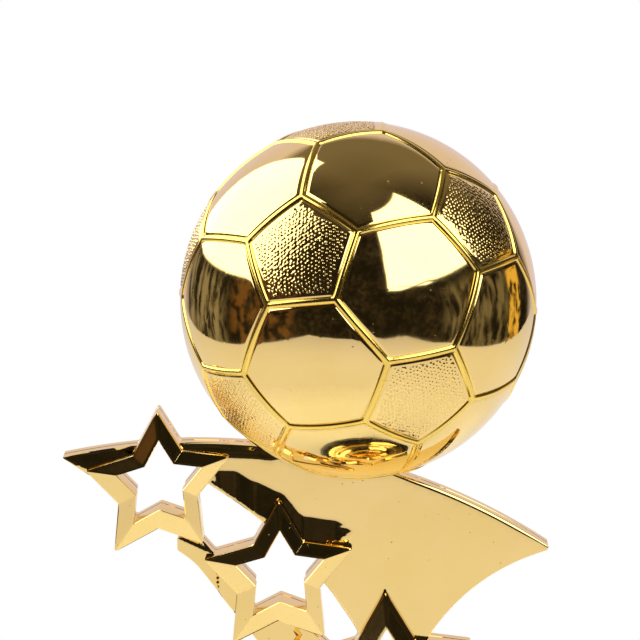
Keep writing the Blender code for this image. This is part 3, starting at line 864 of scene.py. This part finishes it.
def make_star(node, material):
    """A star frame with ten facets that rise to its hole; its corners and edges are slightly worn round."""
    ridge_depth, rim_depth = star_depths(node)
    rim, rim_middle = round_order(loop_at(node, rim_depth))
    hole, hole_middle = round_order(loop_at(node, ridge_depth))
    middle = (rim_middle + hole_middle) / 2

    def outer(share, radius):
        return soften(scaled(rim, middle, share), radius, steps=4, side=6)

    def inner(share, radius):
        return soften(scaled(hole, hole_middle, share), radius, steps=4, side=6)

    rows = [
        (outer(1.012, 0.72), STAR_CONTACT),
        (outer(1.010, 0.68), (rim_depth + STAR_CONTACT) / 2),
        (outer(1.005, 0.60), rim_depth + 0.34),
        (outer(0.996, 0.50), rim_depth + 0.12),
        (outer(0.978, 0.38), rim_depth),
        (outer(0.955, 0.26), rim_depth - 0.07),
    ]
    first, last = outer(0.955, 0.26), inner(1.035, 0.14)
    start, end = rim_depth - 0.07, ridge_depth + 0.02
    facet_rows = 6
    for step in range(1, facet_rows):
        t = step / facet_rows
        rows.append(([a.lerp(b, t) for a, b in zip(first, last)], start + (end - start) * t))
    rows += [
        (last, end),
        (inner(1.012, 0.14), ridge_depth),
        (inner(0.992, 0.16), ridge_depth + 0.10),
        (inner(0.984, 0.20), ridge_depth + 0.32),
        (inner(0.975, 0.25), STAR_CONTACT),
    ]
    bm = bmesh.new()
    loops = [[bm.verts.new((p.x, depth, p.y)) for p in points] for points, depth in rows]
    bridge(bm, loops, closed=True)
    finish_piece(node + "_faceted", bm, material, node, angle=24.0)


# ---- the wing
def flat_outlines(node, depth):
    """The outlines, in x and z, of a CAD node's faces at one depth, with the material on their left."""
    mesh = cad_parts[node].data
    edges = set()
    for face in mesh.polygons:
        corners = [mesh.vertices[v].co / MM for v in face.vertices]
        if all(abs(c.y - depth) < 0.005 for c in corners):
            keys = [(round(c.x, 3), round(c.z, 3)) for c in corners]
            if signed_area([Vector(k) for k in keys]) < 0:
                keys.reverse()
            for a, b in zip(keys, keys[1:] + keys[:1]):
                if (b, a) in edges:
                    edges.discard((b, a))
                elif a != b:
                    edges.add((a, b))
    after = {}
    for a, b in sorted(edges):
        after.setdefault(a, []).append(b)
    loops = []
    while after:
        start = min(after)
        loop, here = [start], after[start].pop()
        while here != start:
            loop.append(here)
            here = after[here].pop()
        after = {k: v for k, v in after.items() if v}
        loops.append([Vector(p) for p in loop])
    return loops


def off_arc(point, circle):
    """How far a point lies outside a circle."""
    return (point - Vector(circle[:2])).length - circle[2]


def smoothstep(value, low, high):
    """0 below low and 1 above high, with a smooth rise between."""
    t = min(1.0, max(0.0, (value - low) / (high - low)))
    return t * t * (3 - 2 * t)


def edge_width(point):
    """How wide the wing's front edge is rounded at a place on its outline."""
    if abs(off_arc(point, TOP_ARC)) < ON_ARC:
        return 0.95 if point.x > 5 else 0.7
    if abs(off_arc(point, LEFT_ARC)) < ON_ARC and point.x > -42:
        return 0.6
    return 0.22


def sharp_corners(loop):
    """The corners where an outline turns by more than 45 degrees."""
    found = []
    for i, corner in enumerate(loop):
        before, after = corner - loop[i - 1], loop[(i + 1) % len(loop)] - corner
        if before.angle(after) > math.radians(45):
            found.append(corner)
    return found


def smoothed(values, passes):
    """Values round an outline, each averaged with its neighbours a number of times."""
    count = len(values)
    for _ in range(passes):
        values = [(values[i - 1] + 2 * values[i] + values[(i + 1) % count]) / 4 for i in range(count)]
    return values


def star_footprint(node, share):
    """The outline that a star covers on the wing, scaled about its middle."""
    _, rim_depth = star_depths(node)
    rim, middle = round_order(loop_at(node, rim_depth))
    return scaled(rim, middle, share)


def relief(point, footprints=()):
    """How far the wing's front face stands back from flat: the spur's roof and the sail's lip.

    It's flat under the stars, whose footprints are given."""
    x, z = point
    back = 0.0
    # the spur falls away on both sides of a ridge that ends in its tip
    if x < SPUR_ROOT:
        (x0, z0), (x1, z1) = SPUR_RIDGE
        ridge = z0 + (x - x0) * (z1 - z0) / (x1 - x0)
        back = ROOF_FALL * (z - ridge) if z > ridge else SPUR_FALL * (ridge - z)
        return back * smoothstep(-x, -SPUR_ROOT, 4.0 - SPUR_ROOT)
    # the sail rolls back towards its top left edge
    top = -off_arc(point, TOP_ARC)
    if -50 < x < -12:
        back += ROLL_DEPTH * smoothstep(ROLL_WIDTH - top, 0.0, ROLL_WIDTH) * smoothstep(-x, 12, 22)
    # the lower horn has a small roof too
    if x < HORN_ROOT and z < HORN_TOP:
        ridge_x, ridge_z, drop = HORN_RIDGE
        ridge = ridge_z - drop * (x - ridge_x)
        return back + ROOF_FALL * max(0.0, z - ridge)
    # a lip stands out below a wavy line and runs out in ribs behind the middle star
    under = lip_height(x) - z
    if under > 0 and -39.5 < x < 0:
        ribs = 0.9 * math.sin(2.3 * z) + 0.6 * math.sin(4.1 * z + 0.7)
        fade = smoothstep(x, *LIP_START) * (1 - smoothstep(x + ribs, *LIP_FADE))
        past = x > LIP_STOP[0] and z < LIP_STOP[1]
        if past or any(even_odd([(x, z)], [outline])[0] for outline in footprints):
            return back
        back -= LIP_SLOPE * fade * min(under, LIP_REACH)
    return back


def near_lip(point):
    """Where the front face is shaped finely: the lip, the spur and the lower horn."""
    x, z = point
    lip = -40.5 < x < -4 and abs(z - lip_height(x) + 3.5) < 5.5
    return lip or x < SPUR_ROOT or (x < HORN_ROOT + 1 and z < HORN_TOP)


def lip_height(x):
    """The height of the lip's upper line at x."""
    for (x0, z0), (x1, z1) in zip(LIP_CURVE, LIP_CURVE[1:]):
        if x <= x1:
            t = min(1.0, max(0.0, (x - x0) / (x1 - x0)))
            return z0 + (z1 - z0) * (t * t * (3 - 2 * t) * 0.5 + t * 0.5)
    return LIP_CURVE[-1][1]


def extent(loop):
    """The longer side of an outline's box."""
    xs, ys = [p.x for p in loop], [p.y for p in loop]
    return max(max(xs) - min(xs), max(ys) - min(ys))


def make_wing_half(node, face_depth, split_depth, material):
    """One skin of the wing: a flat plate with softly rounded edges and a fine step at the parting line."""
    front = face_depth < split_depth
    sign = 1 if front else -1
    loops = []
    for loop in flat_outlines(node, face_depth):
        if extent(loop) > SMALL_HOLE:
            loop = distinct_points(loop, 0.35)
            soft = distinct_points(soften(loop, 0.55, steps=4, far_radius=1.1), 0.2)
            widths = [edge_width(p) for p in soft] if front else [0.4] * len(soft)
        else:
            soft = distinct_points(soften(loop, 5.0, steps=4, far_radius=1.1), 0.02)
            widths = [0.1] * len(soft)
        points = sharp_corners(loop)
        widths = [min([w] + [0.22 + 0.3 * (p - c).length for c in points]) for w, p in zip(widths, soft)]
        loops.append((soft, smoothed(widths, 6)))
    footprints = [star_footprint(star, 1.006) for star in STARS] if front else []
    bm = bmesh.new()
    ends, backs = [], []
    # share of the edge's width, and share of its fall
    profile = ((1.0, 0.0), (0.62, 0.04), (0.34, 0.15), (0.14, 0.36), (0.03, 0.66), (0.0, 1.0), (0.0, 1.25))
    for soft, widths in loops:
        rows = []
        for share, fall in profile:
            moved = inset(soft, [w * share for w in widths])
            depths = [face_depth + sign * 0.85 * w * fall for w in widths]
            if front:
                depths = [d + relief(p, footprints) * max(0.0, 1 - fall) for d, p in zip(depths, moved)]
            rows.append((moved, depths))
        near = split_depth - sign * 0.18
        rows.append((soft, [near] * len(soft)))
        stepped = inset(soft, [0.1] * len(soft))
        rows.append((stepped, [split_depth - sign * PARTING_STEP] * len(soft)))
        rings = []
        for points, depths in rows:
            rings.append([bm.verts.new((p.x, d, p.y)) for p, d in zip(points, depths)])
        bridge(bm, rings)
        ends.append((rows[0][0], rings[0]))
        backs.append((stepped, rings[-1]))

    def on_face(point):
        depth = face_depth + (relief(point, footprints) if front else 0.0)
        return (point.x, depth, point.y)

    outlines = [o for o, _ in ends]
    extra = grid_points(outlines, GRID_PITCH, 0.45)
    if front:
        fine = grid_points(outlines, LIP_PITCH, 0.25)
        extra = [p for p in extra if not near_lip(p)] + [p for p in fine if near_lip(p)]
        for share in (0.998, 1.018):
            traced = soften(star_footprint("star_middle", share), 0.5, steps=3, side=40)
            extra += kept_inside([tuple(p) for p in traced], outlines, 0.1)
    cap(bm, outlines, [r for _, r in ends], extra, on_face)
    parting = split_depth - sign * PARTING_STEP
    cap(bm, [o for o, _ in backs], [r for _, r in backs], [], lambda p: (p.x, parting, p.y))
    finish_piece(node + "_skin", bm, material, node, angle=24.0)


# ---- turned pieces
def turned(name, profile, radius, material, slot, node, steps=192):
    """A ring turned round the Z axis from a closed profile of radius and height."""
    outline = distinct_points(soften(profile, radius, steps=4, shallow=2.0))
    bm = bmesh.new()
    loops = []
    for i in range(steps):
        a = 2 * math.pi * i / steps
        loops.append([bm.verts.new((p.x * math.cos(a), p.x * math.sin(a), p.y)) for p in outline])
    bridge(bm, loops, closed=True)
    return finish_piece(name, bm, material, node, TURNED_ANGLE)


def box_tool(low, high):
    """A plain cutter block, removed once it has cut."""
    bm = bmesh.new()
    corners = [(x, y, z) for z in (low[2], high[2]) for y in (low[1], high[1]) for x in (low[0], high[0])]
    bmesh.ops.convex_hull(bm, input=[bm.verts.new((x * MM, y * MM, z * MM)) for x, y, z in corners])
    return mesh_object("tool", bm)


def cut_with(piece, tool):
    """Cuts a tool out of a turned piece and applies the cut."""
    modifier = piece.modifiers.new("cut", "BOOLEAN")
    modifier.operation = "DIFFERENCE"
    modifier.solver = "EXACT"
    modifier.object = tool
    bpy.context.view_layer.update()
    evaluated = piece.evaluated_get(bpy.context.evaluated_depsgraph_get())
    mesh = bpy.data.meshes.new_from_object(evaluated)
    piece.modifiers.clear()
    piece.data = mesh
    shade(mesh, TURNED_ANGLE)
    bpy.data.objects.remove(tool)


def make_base(gold, black):
    """The black drum, its gold trim ring and the wing's round foot, from profiles of radius and height."""
    body = [
        (2.8, 30.0), (33.2, 30.0), (33.6, 29.7), (34.2, 29.7), (34.6, 29.9), (35.6, 29.6), (36.8, 28.9),
        (37.6, 27.9), (37.8, 26.9), (37.5, 26.2), (36.8, 25.7), (36.8, 25.0), (36.6, 24.9), (36.6, 24.7),
        (36.8, 24.6), (36.8, 11.4), (36.6, 11.3), (36.6, 11.1), (36.8, 11.0), (36.8, 10.2), (37.5, 9.6),
        (37.9, 8.9), (38.2, 8.2), (39.2, 8.0), (40.5, 7.5), (41.3, 6.7), (41.6, 5.6), (41.6, 2.8),
        (41.2, 2.0), (40.8, 1.8), (39.2, 1.8), (39.2, 6.4), (34.8, 10.4), (34.8, 24.4), (31.6, 27.6),
        (6.5, 27.6), (6.5, 11.6), (2.8, 11.6),
    ]
    turned("base_body_polished", body, 0.5, black, "black_plastic", "base_body")
    trim = [
        (2.8, 34.0), (24.6, 34.0), (25.2, 33.7), (25.8, 33.75), (26.6, 33.6), (27.6, 33.3), (28.6, 32.9),
        (29.3, 32.4), (29.6, 31.7), (29.5, 31.0), (29.1, 30.6), (29.0, 30.05), (2.8, 30.05),
    ]
    turned("base_trim_ring", trim, 0.4, gold, "gold_plating", "base_trim")
    foot = [
        (2.8, 46.8), (11.9, 46.8), (12.6, 46.6), (13.1, 46.1), (13.2, 45.4), (13.0, 45.0), (13.2, 44.6),
        (13.2, 43.4), (13.5, 42.3), (14.3, 41.0), (15.6, 39.9), (17.4, 39.0), (19.4, 38.4), (21.6, 38.1),
        (22.4, 37.9), (22.7, 37.5), (23.1, 37.4), (23.4, 36.9), (23.4, 35.2), (23.0, 34.4), (22.6, 34.05),
        (2.8, 34.05),
    ]
    piece = turned("riser_foot_turned", foot, 0.4, gold, "gold_plating", "riser_foot", steps=160)
    slot_half, slot_floor, slot_gap = 8.2, 41.1, 0.2  # the wing's root stands in this slot
    slot_low = (-slot_half, WING_FRONT - slot_gap, slot_floor)
    cut_with(piece, box_tool(slot_low, (slot_half, WING_REAR + slot_gap, 52.0)))


def make_name_plate(material):
    """A blank curved plate with rounded corners and a fine engraved border line."""
    node_low, node_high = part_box("name_plate")
    low, high = node_low.z / MM, node_high.z / MM
    face = 38.7  # radius of the plate's front
    thickness = 0.78
    half_width = math.radians(36.0) * face
    middle = (low + high) / 2
    half_height = (high - low) / 2

    def outline(shrink, radius):
        a, b = half_width - shrink, half_height - shrink
        return soften([(-a, -b), (a, -b), (a, b), (-a, b)], radius, steps=6, side=40)

    def spot(point, depth):
        angle = point[0] / face
        reach = face - depth
        return (reach * math.sin(angle), -reach * math.cos(angle), middle + point[1])

    # how far in from the edge, radius of the corners, and depth behind the front
    steps = (
        (0.0, 1.2, thickness), (0.0, 1.2, 0.12), (0.05, 1.2, 0.03), (0.16, 1.1, 0.0),
        (0.95, 0.8, 0.0), (1.02, 0.8, 0.09), (1.2, 0.75, 0.09), (1.27, 0.7, 0.0),
    )
    rows = [(outline(shrink, radius), depth) for shrink, radius, depth in steps]
    bm = bmesh.new()
    loops = [[bm.verts.new(spot(p, depth)) for p in points] for points, depth in rows]
    bridge(bm, loops)
    for points, ring, depth in ((rows[-1][0], loops[-1], 0.0), (rows[0][0], loops[0], thickness)):
        extra = grid_points([points], 1.2, 0.5)
        cap(bm, [points], [ring], extra, lambda p, d=depth: spot(p, d))
    finish_piece("name_plate_engraved", bm, material, "name_plate", angle=30.0)


# ---- everything
def dress_cad_nodes():
    """Materials of the CAD nodes that stay: fasteners, weight, cover, tape and felt."""
    steel = metal_material("steel", (0.70, 0.71, 0.73), 0.18, 1500.0)
    fasteners = (
        "ball_post", "star_screw_top", "star_screw_left", "star_screw_right", "cross_pin",
        "foot_nut", "clamp_rod", "clamp_nut", "lock_washer", "flat_washer",
    )
    looks = {
        **dict.fromkeys(fasteners, steel),
        "base_weight": metal_material("iron", (0.17, 0.16, 0.155), 0.5, 900.0, cast=True),
        "bottom_cover": plastic_material("cover_plastic", (0.014, 0.014, 0.015), (0.25, 0.4), coat=0.0),
        "name_plate_tape": tape_material(),
        "felt_pad": felt_material(),
    }
    for node, material in looks.items():
        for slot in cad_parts[node].material_slots:
            slot.material = material


def main():
    make_camera()
    make_world()
    make_floor()
    make_card()
    gold = gold_material("gold_plating")
    panels = gold_material("gold_panels", peel=0.006)
    seams = gold_material("gold_seams", tint=(0.98, 0.71, 0.17), rough=(0.13, 0.2))
    pebbles = gold_material("gold_pebbles", tint=(0.97, 0.72, 0.28), rough=(0.06, 0.11))
    make_ball((panels, seams, pebbles))
    for node in STARS:
        make_star(node, gold)
    make_wing_half("wing_front", WING_FRONT, 0.0, gold)
    make_wing_half("wing_rear", WING_REAR, 0.0, gold)
    make_base(gold, plastic_material("black_plastic", (0.008, 0.008, 0.009)))
    make_name_plate(brushed_material())
    dress_cad_nodes()


main()
